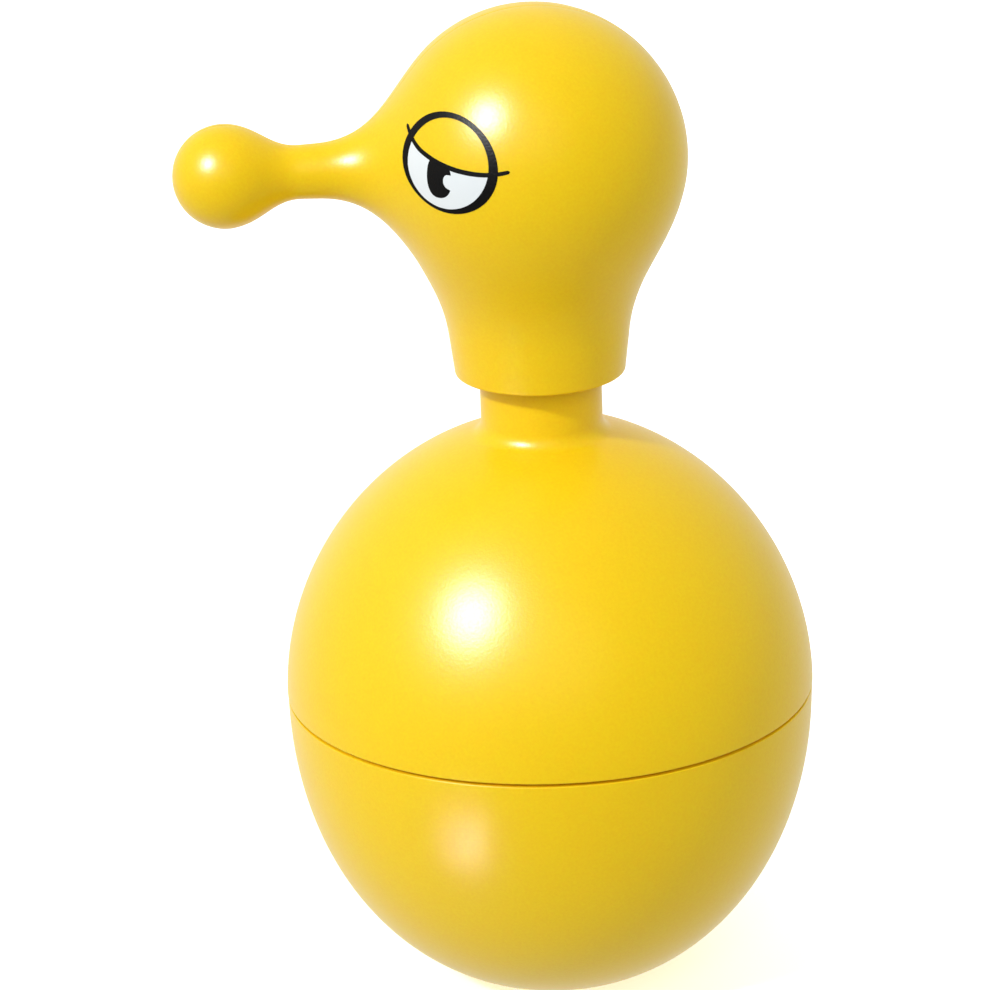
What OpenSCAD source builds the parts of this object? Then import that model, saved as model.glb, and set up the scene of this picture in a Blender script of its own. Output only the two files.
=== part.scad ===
// Bird-shaped pump dispenser: an egg-shaped reservoir in two shells, a short neck with a hand pump in it,
// and a hollow head whose long nose carries the liquid to an outlet under its ball-shaped end.
// Origin at the centre of the foot's underside, +Z up, nose towards -X. Millimetres.

/* [Body] */
// Radius of the body at its parting seam
body_r = 48.75; // [42:0.05:60]
// Height of the parting seam above the table
seam_z = 56.2; // [46:0.1:68]
// Height from the seam to the top of the body's curve, under the neck
crown_h = 50.9; // [42:0.1:62]
// Fullness of the lower half's curve (2 is an ellipse)
lower_fullness = 2.12; // [1.9:0.01:2.5]
// Fullness of the upper half's curve
upper_fullness = 1.94; // [1.8:0.01:2.3]
// Radius of the flat that the body stands on
base_r = 17; // [13:0.5:22]
// Wall of both body shells
shell_wall = 2.4; // [1.6:0.1:3.2]
// Open line left between the two shells at the seam
seam_gap = 0.5; // [0.3:0.05:0.8]
// How far the lower shell's edge stands in from the upper one's
seam_step = 0.1; // [0:0.05:0.8]

/* [Foot pad] */
// Radius of the soft foot pad
pad_r = 14; // [9:0.5:16]
// Thickness of the foot pad
pad_t = 1.6; // [1.2:0.1:2.4]
// How far the pad stands out of the base
pad_proud = 0.4; // [0.2:0.1:0.8]

/* [Screw joint] */
// Rise of the helical lugs in one full turn
lug_lead = 24; // [12:1:36]
// Number of lugs on each shell
lug_count = 3; // [2:1:4]
// Arc that one lug covers, in degrees
lug_arc = 30; // [18:2:36]
// Thickness of a lug
lug_t = 1.5; // [1.2:0.1:2]
// Play above and below a lug, and between its tip and the opposite wall
lug_play = 0.3; // [0.3:0.05:0.6]
// Radial gap between the lower shell's spigot and the upper shell
spigot_gap = 1.3; // [1.1:0.1:1.8]
// Wall of the spigot
spigot_wall = 2.8; // [2.2:0.1:3.6]
// Diameter of the sealing ring's section
ring_d = 2.3; // [2:0.1:2.8]
// Clearance round the sealing ring
ring_play = 0.1; // [0.05:0.01:0.2]

/* [Neck] */
// Outer radius of the neck
neck_r = 11.1; // [10:0.1:14]
// Wall of the neck
neck_wall = 2; // [1.6:0.1:2.6]
// Radius of the fillet where the neck meets the body
neck_fillet = 3; // [1.5:0.1:4]
// How far the neck reaches up inside the head's skirt
neck_cover = 6.5; // [6:0.1:12]

/* [Pump] */
// Travel of the head when it is pressed
stroke = 9; // [6:0.5:11]
// Gap left between skirt and body at full press
stop_gap = 3.6; // [2.5:0.1:6]
// Wall of the pump barrel
barrel_wall = 1.4; // [1.2:0.1:1.8]
// Radial gap between the barrel and the neck's bore
barrel_gap = 1.5; // [1.2:0.1:2.5]
// Length of the barrel's bore, from its shoulder to the flange
barrel_len = 40; // [36:1:50]
// Outer radius of the hollow pump stem
stem_r = 3.6; // [3.2:0.1:4.2]
// Bore radius of the pump stem
stem_bore_r = 1.8; // [1.4:0.1:2]
// Radial clearance of a running fit
run_clear = 0.05; // [0.03:0.01:0.1]
// Height of the piston
piston_h = 6; // [5:0.5:8]
// Wire radius of the return spring
wire_r = 0.45; // [0.35:0.05:0.6]
// Turns of the return spring
spring_turns = 6; // [5:1:8]
// Radius of the valve balls
ball_valve_r = 2.3; // [2.1:0.1:2.5]
// Travel of the valve balls
ball_lift = 1.5; // [1:0.1:1.8]
// Thickness of the gasket under the barrel's flange
gasket_t = 1; // [0.6:0.1:1.6]
// Outer radius of the dip tube
dip_r = 2.6; // [2.2:0.1:3]
// Wall of the dip tube
dip_wall = 0.9; // [0.6:0.1:1.1]
// Height of the dip tube's mouth above the reservoir's floor
dip_gap = 2.6; // [1.5:0.1:5]
// Wall of the collar that clamps the pump to the neck
collar_wall = 1.8; // [1.4:0.1:2.4]

/* [Head] */
// Radius of the head's round part
head_r = 26.8; // [24:0.1:33]
// Height of the head's centre above the skirt's rim
head_rise = 40.7; // [38:0.1:50]
// Wall of the head shells
head_wall = 1.8; // [1.4:0.1:2.2]
// Gap between the collar and the inside of the skirt
skirt_gap = 0.75; // [0.6:0.05:1.5]
// Growth of the skirt's radius for each millimetre of height
skirt_flare = 0.122; // [0:0.002:0.2]
// Distance from the neck's axis to the centre of the nose's ball end
nose_len = 55.1; // [50:0.1:67]
// Height of the nose's axis above the head's centre
nose_lift = -1.05; // [-2:0.05:2]
// Radius of the nose at its thinnest
nose_r = 4.8; // [4.6:0.1:6]
// Radius of the nose's ball end
nose_ball_r = 9.3; // [8:0.1:11]
// Width of the blend between head and skirt
blend_skirt = 10; // [6:0.1:14]
// Width of the blend between head and nose
blend_nose = 11.4; // [7:0.1:15]
// Width of the blend between nose and ball end
blend_ball = 4.8; // [3:0.1:7]

/* [Outlet] */
// Outer radius of the nozzle tip under the ball end
tip_r = 2.5; // [2.2:0.1:2.8]
// Bore radius of the nozzle tip
tip_bore_r = 1.3; // [1:0.1:1.6]
// Wall of the tube inside the nose
tube_wall = 0.8; // [0.6:0.1:1]

/* [Hidden] */
$fn = 96;
eps = 0.01;            // lets a cut pass through the face it opens
touch = 0.02;          // gap between pieces that are drawn seated on each other
bite = 0.2;            // how far a lug, finger or bar sinks into the wall that it stands on

// Body curves
curve_steps = 20;
lower_h = (seam_z - pad_proud) / pow(1 - pow(base_r / body_r, lower_fullness), 1 / lower_fullness);

// Height of the upper half's outside above the seam at the radius x
function crown_z(x) = crown_h * pow(1 - pow(x / body_r, upper_fullness), 1 / upper_fullness);
// Points of an egg half from the seam to the height z_end, up for dir 1 and down for dir -1
function egg_arc(r, h, n, z_end, dir) = [
    for (i = [0:curve_steps])
        let (a = asin(pow(z_end / h, n / 2)) * i / curve_steps)
        [r * pow(cos(a), 2 / n), seam_z + dir * h * pow(sin(a), 2 / n)]
];

// Screw joint
joint_step = 0.4;                                     // extra wall of the upper shell at the joint
joint_r = body_r - shell_wall - joint_step;           // upper shell's bore at the joint
spigot_r = joint_r - spigot_gap;
spigot_base = 3.2;                                    // depth of the spigot's root below the seam
groove_z = seam_z + 1;                                // lower side of the sealing ring's groove
ring_r = joint_r - ring_play - ring_d / 2;            // radius of the ring's centre line
groove_h = ring_d + 4 * ring_play;
lug_rise = lug_lead * lug_arc / 360;
upper_lug_z = groove_z + groove_h + lug_play;         // underside of the upper shell's lugs at their low end
lower_lug_z = upper_lug_z + lug_t + lug_play;
spigot_land = 0.5;                                    // edge of the spigot above its lugs
spigot_top = lower_lug_z + lug_rise + lug_t + spigot_land;
joint_top = spigot_top + lug_play;                    // end of the upper shell's straight bore
lug_slices = 6;

// Levels of the neck, the skirt and the pump
collar_r = neck_r + collar_wall;
skirt_r = collar_r + skirt_gap + head_wall;
rim_z = seam_z + crown_z(skirt_r) + stop_gap + stroke;
neck_top = rim_z + neck_cover;
flange_z = neck_top + gasket_t;
flange_t = 1.6;
guide_z = flange_z + flange_t;
guide_t = 1.2;
lip_t = 1.6;
collar_top = guide_z + guide_t + lip_t;
collar_depth = 5;                                     // how far the collar reaches down over the neck

// Barrel, from its shoulder up
bore_r = neck_r - neck_wall;
barrel_or = bore_r - barrel_gap;
barrel_r = barrel_or - barrel_wall;
shoulder_z = flange_z - barrel_len;
valve_room_r = ball_valve_r + 0.6;                    // chamber round the inlet ball
ball_play = 0.05;                                     // room left above a ball at the top of its travel
seat_r = ball_valve_r - 0.7;                          // hole that the inlet ball closes
finger_reach = ball_valve_r - 0.9;                    // distance of the stop fingers from the axis
finger_t = 0.7;
finger_w = 0.8;                                       // width of the fingers and of the upper valve's crossbar
// Height of a valve ball's centre above a round edge of radius edge_r that it rests on
function ball_over(edge_r) = sqrt(pow(ball_valve_r, 2) - pow(edge_r, 2));
finger_z = ball_over(seat_r) + ball_lift + ball_over(finger_reach) + ball_play;
valve_room_h = finger_z + finger_t + 0.1;
seat_z = shoulder_z - valve_room_h;
seat_t = 2;
nipple_wall = 1.6;
nipple_len = 9;
flange_r = neck_r - 0.2;

// Plunger
guide_len = 6;
guide_bottom = guide_z - guide_len;
shoulder_t = 0.6;                                     // stem's stop ring above the piston
spindle_gap = 0.3;
piston_top = guide_bottom - shoulder_t - 2 * spindle_gap;
piston_z = piston_top - piston_h;
lip_h = 1.4;                                          // height of the piston's two sealing lips
waist = 0.4;                                          // how far its waist stands in from the bore
spindle_disc_t = 1.5;
spindle_z = piston_z - spindle_gap - spindle_disc_t;  // underside of the spindle's disc
spindle_r = barrel_r - 1.2;
spindle_pin_len = 9;                                  // pin inside the stem's bore
spindle_pin_r = stem_bore_r - 0.5;
spindle_tail_r = 1.5;
spring_r = barrel_r - wire_r - 0.5;
spring_len = spindle_z - shoulder_z;
spindle_tail = spring_len - stroke - 3;
stem_shoulder_r = stem_r + 0.8;

// Head levels
head_z = rim_z + head_rise;
nose_z = head_z + nose_lift;
socket_r = stem_r + 2.4;
socket_z = collar_top + stroke + 1.5;
stem_top = nose_z - 5.5;
channel_r = 1.6;
outlet_cup_r = ball_valve_r + 0.35;                   // pocket for the outlet ball in the stem's top
outlet_seat_r = stem_bore_r;
outlet_cup_z = stem_top - ball_over(outlet_seat_r) - ball_valve_r - ball_lift - ball_play;
tube_r = nose_r - head_wall - 0.5;
elbow_r = tube_r + 1.2;
elbow_len = socket_r + 5;
tube_seat = 4;                                        // depth of the spout tube's end in the elbow
tip_seat = 1;                                         // depth of its other end in the nozzle tip
disc_rise = 5;                                        // height of the socket's disc above the socket's foot
disc_t = 1.6;
disc_play = 0.3;                                      // gap between the disc and the head's wall
disc_rib = 2.5;                                       // material left inside and outside the disc's windows
tip_len = nose_ball_r - 0.3;
tip_body_r = tip_r + 0.9;

// Head surface. Stations run from the skirt's rim up the neck's axis, round a quarter turn about a pivot
// in front of the chin, and out along the nose to the ball's tip.
pivot = 27;
rise_steps = 5;
turn_steps = 22;
nose_steps = 11;
ball_steps = 9;
ring_steps = 16;
ball_start = -0.2;                                    // share of the ball's radius where its stations begin
taper_start = 10.7;                                   // length of the nose behind the ball before it thickens
taper = 0.0044;                                       // growth of its radius with the square of the length after
column_drop = 5;                                      // how far the skirt's round top lies below the head's centre

// Smooth minimum of two distances: a square blend over the width k
function soft_min(a, b, k) = let (h = max(k - abs(a - b), 0)) min(a, b) - h * h / (4 * k);
// Distance of the point p from the head's outside, negative within
function head_field(p) = let (
    round_part = norm(p - [0, 0, head_z]) - head_r,
    column_z = head_z - column_drop,
    column = norm([p.x, p.y, max(p.z - column_z, 0)]) - skirt_r - skirt_flare * (min(p.z, column_z) - rim_z),
    along = min(max(-p.x, -5), nose_len),
    grown = max(nose_len - taper_start - along, 0),
    tube = norm([p.x + along, p.y, p.z - nose_z]) - nose_r - taper * grown * grown,
    ball = norm(p - [-nose_len, 0, nose_z]) - nose_ball_r,
    trunk = soft_min(soft_min(round_part, column, blend_skirt), tube, blend_nose)
) soft_min(trunk, ball, blend_ball);
// Point on the ray from o along d where the field reaches level, by halving the interval n times
function on_level(o, d, low, high, level, n) = let (mid = (low + high) / 2)
    n == 0 ? o + mid * d
    : head_field(o + mid * d) > level ? on_level(o, d, low, mid, level, n - 1)
    : on_level(o, d, mid, high, level, n - 1);
// Stations as [centre, direction away from the chin], for a ball end of radius r
function stations(r) = concat(
    [for (i = [0:rise_steps - 1]) [[0, 0, rim_z + (nose_z - pivot - rim_z) * i / rise_steps], [1, 0, 0]]],
    [for (i = [0:turn_steps - 1]) let (a = 90 * i / turn_steps)
        [[pivot * (cos(a) - 1), 0, nose_z + pivot * (sin(a) - 1)], [cos(a), 0, sin(a)]]],
    [for (i = [0:nose_steps - 1]) let (reach = nose_len + ball_start * nose_ball_r - pivot)
        [[-pivot - reach * i / nose_steps, 0, nose_z], [0, 0, 1]]],
    [for (i = [0:ball_steps - 1]) let (a = acos(-ball_start) * (1 - i / ball_steps))
        [[-nose_len - (i == 0 ? ball_start * nose_ball_r : r * cos(a)), 0, nose_z], [0, 0, 1]]]
);
// Half rings of points on the level surface, one ring for each station
function half_rings(level, r) = [
    for (s = stations(r)) [
        for (j = [0:ring_steps])
            let (
                v = 180 * j / ring_steps,
                d = cos(v) * s[1] + [0, sin(v), 0],
                reach = cos(v) < 0 ? min(60, 0.97 * pivot / -cos(v)) : 60
            )
            on_level(s[0], d, 0, reach, level, 15)
    ]
];

// Half of the head as one closed wall: outer and inner surface joined at the parting plane, rim and tip
module head_half() {
    outer = half_rings(0, nose_ball_r);
    inner = half_rings(-head_wall, nose_ball_r - head_wall);
    rings = len(outer);
    row = ring_steps + 1;
    base = rings * row;
    tip = 2 * base;
    points = concat(
        [for (ring = outer) each ring],
        [for (ring = inner) each ring],
        [[-nose_len - nose_ball_r, 0, nose_z], [-nose_len - nose_ball_r + head_wall, 0, nose_z]]
    );
    skin = [for (i = [0:rings - 2]) for (j = [0:ring_steps - 1]) let (a = i * row + j) each [
        [a, a + 1, a + row], [a + 1, a + row + 1, a + row],
        [base + a + row, base + a + 1, base + a], [base + a + row, base + a + row + 1, base + a + 1]
    ]];
    edges = [for (i = [0:rings - 2]) let (a = i * row, b = a + ring_steps) each [
        [a, a + row, base + a], [a + row, base + a + row, base + a],
        [base + b, b + row, b], [base + b, base + b + row, b + row]
    ]];
    rim = [for (j = [0:ring_steps - 1]) each [[j + 1, j, base + j], [j + 1, base + j, base + j + 1]]];
    last = (rings - 1) * row;
    cap = [for (j = [0:ring_steps - 1]) let (a = last + j) each [
        [a, a + 1, tip], [base + a + 1, base + a, tip + 1]
    ]];
    closing = [
        [last, tip, base + last], [tip, tip + 1, base + last],
        [last + ring_steps, base + last + ring_steps, tip],
        [tip, base + last + ring_steps, tip + 1]
    ];
    polyhedron(points, concat(skin, edges, rim, cap, closing), convexity = 8);
}

// Tube along the z axis from z0 to z1, outer radius r and bore radius b
module pipe(r, b, z0, z1) {
    difference() {
        translate([0, 0, z0]) cylinder(r = r, h = z1 - z0);
        translate([0, 0, z0 - eps]) cylinder(r = b, h = z1 - z0 + 2 * eps);
    }
}

// Ring of helical lugs between the radii r0 and r1, low end at the height z
module lugs(r0, r1, z) {
    slope = atan(lug_lead / (2 * PI * (r0 + r1) / 2));
    slice = lug_arc / lug_slices;
    width = 2 * r1 * tan(slice / 2) + 0.1;
    for (i = [0:lug_count - 1])
        for (j = [0:lug_slices - 1])
            rotate([0, 0, 360 * i / lug_count + (j + 0.5) * slice])
                translate([(r0 + r1) / 2, 0, z + lug_lead * (j + 0.5) * slice / 360 + lug_t / 2])
                    rotate([slope, 0, 0])
                        cube([r1 - r0, width, lug_t], center = true);
}

module foot_pad() {
    color("#3a3a38")
        cylinder(r = pad_r, h = pad_t);
}

module lower_shell() {
    inner_r = body_r - shell_wall;
    inner_h = lower_h - shell_wall;
    floor_z = pad_proud + shell_wall;
    color("#f6c81e") {
        difference() {
            rotate_extrude() {
                polygon(concat(
                    [[0, seam_z - seam_gap]],
                    [[body_r - seam_step, seam_z - seam_gap]],
                    [for (p = egg_arc(body_r - seam_step, lower_h, lower_fullness, seam_z - pad_proud, -1))
                        if (p.y < seam_z - 1) p],
                    [[0, pad_proud]]
                ));
            }
            rotate_extrude() {
                polygon(concat(
                    [[0, seam_z - spigot_base], [inner_r, seam_z - spigot_base]],
                    [for (p = egg_arc(inner_r, inner_h, lower_fullness, seam_z - floor_z, -1))
                        if (p.y < seam_z - spigot_base - 1) p],
                    [[0, floor_z]]
                ));
            }
            translate([0, 0, seam_z - spigot_base - eps])
                cylinder(r = spigot_r - spigot_wall, h = spigot_base + 2 * eps);
            translate([0, 0, -eps])
                cylinder(r = pad_r + touch, h = pad_t + eps);
        }
        difference() {
            pipe(spigot_r, spigot_r - spigot_wall, seam_z - spigot_base, spigot_top);
            pipe(spigot_r + 1, ring_r - ring_d / 2 - ring_play, groove_z, groove_z + groove_h);
        }
        lugs(spigot_r - bite, joint_r - lug_play, lower_lug_z);
    }
}

module body_seal() {
    color("#2c2c2c")
        translate([0, 0, groove_z + groove_h / 2])
            rotate_extrude() translate([ring_r, 0]) circle(r = ring_d / 2, $fn = 48);
}

module upper_shell() {
    inner_r = body_r - shell_wall;
    inner_h = crown_h - shell_wall;
    slope = atan(crown_h / body_r * pow((neck_r + neck_fillet) / body_r, upper_fullness - 1));
    foot_x = neck_r + neck_fillet * (1 - sin(slope));
    foot_z = seam_z + crown_z(foot_x);
    centre_z = foot_z + neck_fillet * cos(slope);
    top_z = seam_z + inner_h * pow(1 - pow(bore_r / inner_r, upper_fullness), 1 / upper_fullness);
    color("#f6c81e") {
        rotate_extrude() {
            polygon(concat(
                [[joint_r, seam_z]],
                egg_arc(body_r, crown_h, upper_fullness, foot_z - seam_z, 1),
                [for (i = [1:6]) let (a = slope + (90 - slope) * i / 6)
                    [neck_r + neck_fillet * (1 - sin(a)), centre_z - neck_fillet * cos(a)]],
                [[neck_r, neck_top], [bore_r, neck_top], [bore_r, top_z]],
                [for (i = [curve_steps - 1:-1:1])
                    let (p = egg_arc(inner_r, inner_h, upper_fullness, top_z - seam_z, 1)[i])
                    if (p.y > joint_top + 1) p],
                [[joint_r, joint_top]]
            ));
        }
        lugs(spigot_r + lug_play, joint_r + bite, upper_lug_z);
    }
}

module neck_gasket() {
    color("#d8d8d2")
        pipe(flange_r, barrel_or + touch, neck_top, flange_z);
}

module pump_housing() {
    color("#f2f2ee") {
        difference() {
            union() {
                translate([0, 0, seat_z]) cylinder(r = barrel_or, h = flange_z + flange_t - seat_z);
                translate([0, 0, flange_z]) cylinder(r = flange_r, h = flange_t);
                translate([0, 0, seat_z - seat_t - nipple_len]) cylinder(r = dip_r + nipple_wall, h = seat_t + nipple_len + eps);
            }
            translate([0, 0, shoulder_z]) cylinder(r = barrel_r, h = barrel_len + flange_t + eps);
            translate([0, 0, seat_z]) cylinder(r = valve_room_r, h = valve_room_h + eps);
            translate([0, 0, seat_z - seat_t - eps]) cylinder(r = seat_r, h = seat_t + 2 * eps);
            translate([0, 0, seat_z - seat_t - nipple_len - eps]) cylinder(r = dip_r, h = nipple_len + eps);
        }
        // Fingers that stop the inlet ball and let the liquid pass
        for (i = [0:2])
            rotate([0, 0, 120 * i])
                translate([finger_reach, -finger_w / 2, seat_z + finger_z])
                    cube([valve_room_r + bite - finger_reach, finger_w, finger_t]);
    }
}

module stem_guide() {
    color("#e9e9e4")
        difference() {
            union() {
                translate([0, 0, guide_bottom]) cylinder(r = barrel_r - touch, h = guide_len);
                translate([0, 0, guide_z]) cylinder(r = barrel_or, h = guide_t);
            }
            translate([0, 0, guide_bottom - eps]) cylinder(r = stem_r + run_clear, h = guide_len + guide_t + 2 * eps);
        }
}

module neck_collar() {
    lip_r = stem_r + 1.6;
    grips = 24;
    color("#e9e9e4")
        difference() {
            translate([0, 0, neck_top - collar_depth]) cylinder(r = collar_r, h = collar_top - neck_top + collar_depth);
            translate([0, 0, neck_top - collar_depth - eps])
                cylinder(r = neck_r + touch, h = collar_depth + guide_z - neck_top + eps);
            translate([0, 0, guide_z - eps]) cylinder(r = barrel_or + touch, h = guide_t + eps);
            translate([0, 0, guide_z]) cylinder(r = lip_r, h = collar_top - guide_z + eps);
            for (i = [0:grips - 1])
                rotate([0, 0, 360 * i / grips])
                    translate([collar_r + 0.5, 0, neck_top - collar_depth + 1])
                        cylinder(r = 0.9, h = collar_top - neck_top + collar_depth - 2, $fn = 24);
        }
}

module dip_tube() {
    color("#f4f4f0")
        pipe(dip_r, dip_r - dip_wall, pad_proud + shell_wall + dip_gap, seat_z - seat_t - touch);
}

module inlet_ball() {
    color("#c8ccd0")
        translate([0, 0, seat_z + ball_over(seat_r)]) sphere(r = ball_valve_r - touch);
}

// Round wire carried along a helix, with its ends closed
module return_spring() {
    steps = 20;
    sides = 6;
    count = steps * spring_turns;
    rise = spring_len - 2 * wire_r - 2 * touch;
    path = [for (i = [0:count]) let (a = 360 * i / steps)
        [spring_r * cos(a), spring_r * sin(a), shoulder_z + touch + wire_r + rise * i / count]];
    points = [for (i = [0:count]) for (j = [0:sides - 1])
        let (a = 360 * i / steps, b = 360 * j / sides)
        path[i] + wire_r * (cos(b) * [cos(a), sin(a), 0] + sin(b) * [0, 0, 1])];
    walls = [for (i = [0:count - 1]) for (j = [0:sides - 1])
        let (a = i * sides + j, b = i * sides + (j + 1) % sides)
        each [[a, b, a + sides], [b, b + sides, a + sides]]];
    ends = [[for (j = [sides - 1:-1:0]) j], [for (j = [0:sides - 1]) count * sides + j]];
    color("#b9bdc1")
        polyhedron(points, concat(walls, ends), convexity = 12);
}

module piston() {
    color("#dfe3e6")
        difference() {
            union() {
                translate([0, 0, piston_z]) cylinder(r = barrel_r - waist, h = piston_h);
                for (z = [piston_z, piston_top - lip_h])
                    translate([0, 0, z]) cylinder(r = barrel_r - run_clear, h = lip_h);
            }
            translate([0, 0, piston_z - eps]) cylinder(r = stem_r + run_clear, h = piston_h + 2 * eps);
        }
}

module valve_spindle() {
    color("#f2f2ee") {
        translate([0, 0, spindle_z]) cylinder(r = spindle_r, h = spindle_disc_t);
        translate([0, 0, spindle_z - spindle_tail]) cylinder(r = spindle_tail_r, h = spindle_tail + eps);
        translate([0, 0, spindle_z]) cylinder(r = spindle_pin_r, h = spindle_disc_t + spindle_pin_len);
    }
}

module pump_stem() {
    port_z = piston_z - spindle_gap;
    color("#f2f2ee")
        difference() {
            union() {
                translate([0, 0, port_z]) cylinder(r = stem_r, h = stem_top - port_z);
                translate([0, 0, piston_top + spindle_gap]) cylinder(r = stem_shoulder_r, h = shoulder_t);
            }
            translate([0, 0, port_z - eps]) cylinder(r = stem_bore_r, h = stem_top - port_z);
            translate([0, 0, outlet_cup_z]) cylinder(r = outlet_cup_r, h = stem_top - outlet_cup_z + eps);
        }
}

module outlet_ball() {
    color("#c8ccd0")
        translate([0, 0, outlet_cup_z + ball_over(outlet_seat_r)]) sphere(r = ball_valve_r - touch);
}

module stem_socket() {
    disc_z = socket_z + disc_rise;
    // Inside of the head at the disc's level, on its narrow sides
    disc_r = on_level([0, 0, disc_z], [0, 1, 0], 0, 60, -head_wall, 15).y - disc_play;
    windows = 4;
    color("#e9e9e4") {
        // Bar across the channel that stops the outlet ball
        translate([-channel_r - bite, -finger_w / 2, stem_top])
            cube([2 * (channel_r + bite), finger_w, finger_w]);
        difference() {
            union() {
                translate([0, 0, socket_z]) cylinder(r = socket_r, h = nose_z + elbow_r - socket_z);
                translate([0, 0, disc_z]) cylinder(r = disc_r, h = disc_t);
                translate([0, 0, nose_z]) rotate([0, -90, 0]) cylinder(r = elbow_r, h = elbow_len);
            }
            translate([0, 0, socket_z - eps]) cylinder(r = stem_r, h = stem_top - socket_z + eps);
            translate([0, 0, stem_top - eps]) cylinder(r = channel_r, h = nose_z - stem_top);
            translate([channel_r, 0, nose_z]) rotate([0, -90, 0]) cylinder(r = channel_r, h = elbow_len + channel_r + eps);
            translate([-elbow_len + tube_seat, 0, nose_z]) rotate([0, -90, 0]) cylinder(r = tube_r, h = tube_seat + eps);
            for (i = [0:windows - 1])
                rotate([0, 0, 45 + 360 * i / windows])
                    translate([(disc_r + socket_r) / 2, 0, disc_z - eps])
                        cylinder(r = (disc_r - socket_r) / 2 - disc_rib, h = disc_t + 2 * eps);
        }
    }
}

module head_left_shell() {
    color("#f6c81e")
        mirror([0, 1, 0]) head_shell();
}

module head_right_shell() {
    color("#f6c81e")
        head_shell();
}

// Shell half with the outlet's hole through the ball's underside
module head_shell() {
    difference() {
        head_half();
        translate([-nose_len, 0, nose_z - nose_ball_r - 1]) cylinder(r = tip_r + touch, h = head_wall + 2);
    }
}

module spout_tube() {
    x0 = elbow_len - tube_seat + touch;
    x1 = nose_len - tip_body_r + tip_seat;
    color("#f4f4f0")
        translate([0, 0, nose_z]) rotate([0, -90, 0]) pipe(tube_r, tube_r - tube_wall, x0, x1);
}

module nozzle_tip() {
    color("#f4f4f0")
        translate([-nose_len, 0, nose_z])
            difference() {
                union() {
                    translate([0, 0, -tip_len]) cylinder(r = tip_r, h = tip_len);
                    sphere(r = tip_body_r);
                    rotate([0, 90, 0]) cylinder(r = tip_body_r - 0.2, h = tip_body_r + 2);
                }
                translate([0, 0, -tip_len - eps]) cylinder(r = tip_bore_r, h = tip_len);
                rotate([0, 90, 0]) cylinder(r = tip_bore_r, h = tip_body_r);
                translate([tip_body_r - tip_seat - touch, 0, 0]) rotate([0, 90, 0]) cylinder(r = tube_r, h = tube_seat);
            }
}

foot_pad();
lower_shell();
body_seal();
upper_shell();
neck_gasket();
pump_housing();
stem_guide();
neck_collar();
dip_tube();
inlet_ball();
return_spring();
piston();
valve_spindle();
pump_stem();
outlet_ball();
stem_socket();
head_left_shell();
head_right_shell();
spout_tube();
nozzle_tip();
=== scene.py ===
"""Looks of a bird-shaped hand-pump dispenser: moulded shells, printed eyes, pump pieces and studio.

Shapes are worked out in millimetres in the part's own frame (+Z up, nose towards -X) and put into meshes
in metres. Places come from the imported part's node boxes; the sizes below are those the part is made to.
"""

import logging
import math
from dataclasses import astuple, dataclass, field
from enum import Enum
from typing import Any

import bmesh
import bpy
import numpy as np
from bpy.types import ID, Material, Node, NodeSocket, NodeTree, Object, World
from mathutils import Matrix, Vector

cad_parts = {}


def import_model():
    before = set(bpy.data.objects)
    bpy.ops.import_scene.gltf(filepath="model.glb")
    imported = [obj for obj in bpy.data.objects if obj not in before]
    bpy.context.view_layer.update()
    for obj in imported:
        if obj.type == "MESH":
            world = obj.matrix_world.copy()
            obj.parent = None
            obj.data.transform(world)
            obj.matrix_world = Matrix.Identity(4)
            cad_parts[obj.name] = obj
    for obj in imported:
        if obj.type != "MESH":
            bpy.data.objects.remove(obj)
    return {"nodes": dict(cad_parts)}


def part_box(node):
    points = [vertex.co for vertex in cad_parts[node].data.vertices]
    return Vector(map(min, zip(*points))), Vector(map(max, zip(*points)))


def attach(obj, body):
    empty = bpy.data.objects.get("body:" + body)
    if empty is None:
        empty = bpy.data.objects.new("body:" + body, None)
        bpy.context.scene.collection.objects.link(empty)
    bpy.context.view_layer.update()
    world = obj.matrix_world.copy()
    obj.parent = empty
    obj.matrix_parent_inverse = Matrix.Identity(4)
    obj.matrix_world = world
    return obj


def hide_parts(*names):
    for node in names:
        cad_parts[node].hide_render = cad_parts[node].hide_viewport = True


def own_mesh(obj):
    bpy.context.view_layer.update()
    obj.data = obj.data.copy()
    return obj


LOG = logging.getLogger("dispenser")
MM = 0.001
SHARP_ANGLE = math.radians(38)
WELD = 1e-7
ROUGHNESS_SPREAD = 0.12
TINY = 1e-6
HALVINGS = 32
Points = np.ndarray


# ---- meshes


def box_mm(node: str) -> tuple[Points, Points]:
    """Lowest and highest corner of a CAD node at rest, in millimetres."""
    low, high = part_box(node)
    return np.array(low) / MM, np.array(high) / MM


def joined(*parts: Points | float) -> Points:
    """Coordinates put together as the last axis, each spread to the shape of the others."""
    return np.stack(np.broadcast_arrays(*parts), -1)


@dataclass
class Patch:
    """A surface as a grid of points: rows by columns by three, in millimetres.

    Args:
        points: the grid; a face's front side is where columns turn left as rows go up.
        wrap_rows: whether the last row joins the first.
        wrap_columns: whether the last column joins the first.
    """

    points: Points
    wrap_rows: bool = False
    wrap_columns: bool = False

    def faces(self, start: int) -> Points:
        """Corner numbers of every quad.

        Args:
            start: number of the grid's first point in the mesh.

        Returns:
            One row of four point numbers for each quad.
        """
        rows, columns = self.points.shape[:2]
        i = np.arange(rows if self.wrap_rows else rows - 1)[:, None]
        j = np.arange(columns if self.wrap_columns else columns - 1)[None, :]
        up, right = (i + 1) % rows, (j + 1) % columns
        quads = [i * columns + j, i * columns + right, up * columns + right, up * columns + j]
        return start + joined(*quads).reshape(-1, 4)


def linked(name: str, data: ID) -> Object:
    """Puts some data into the scene as a new object at the origin."""
    made = bpy.data.objects.new(name, data)
    bpy.context.scene.collection.objects.link(made)
    return made


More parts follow.
